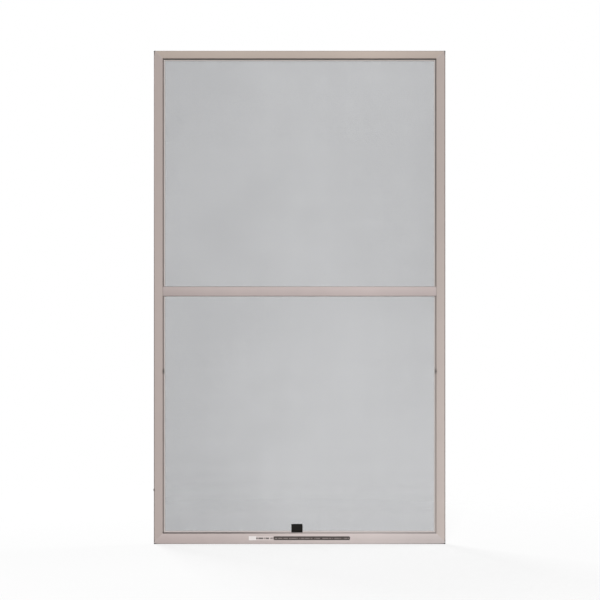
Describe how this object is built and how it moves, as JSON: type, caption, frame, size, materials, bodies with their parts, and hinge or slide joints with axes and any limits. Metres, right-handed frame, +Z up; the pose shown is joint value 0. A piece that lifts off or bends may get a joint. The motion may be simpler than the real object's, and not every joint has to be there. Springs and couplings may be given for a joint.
{
  "type": "window screen frame",
  "caption": "Upright insect screen for a window: mitred roll-formed frame with a crossbar, stretched woven cloth held by a spline, and a pull tab.",
  "frame": {"origin": "middle of the bottom edge, halfway through the frame's depth", "axes": "+X across the window to the right as seen from the face, +Y from the face to the back (spline side), +Z up"},
  "size_m": [0.7092, 0.011, 1.198],
  "materials": {
    "frame_paint": "satin taupe paint on rolled aluminium strip",
    "key_plastic": "moulded nylon, dark",
    "screen_cloth": "coated woven glass yarn",
    "spline_vinyl": "extruded soft vinyl cord",
    "tab_plastic": "moulded flexible plastic, black",
    "button_plastic": "moulded nylon, grey"
  },
  "bodies": {
    "root": {"top_rail": "frame_paint", "bottom_rail": "frame_paint", "left_stile": "frame_paint", "right_stile": "frame_paint", "crossbar": "frame_paint", "top_left_corner_key": "key_plastic", "top_right_corner_key": "key_plastic", "bottom_left_corner_key": "key_plastic", "bottom_right_corner_key": "key_plastic", "left_crossbar_clip": "key_plastic", "right_crossbar_clip": "key_plastic", "insect_cloth": "screen_cloth", "spline": "spline_vinyl", "pull_tab": "tab_plastic", "edge_button": "button_plastic"}
  },
  "joints": []
}
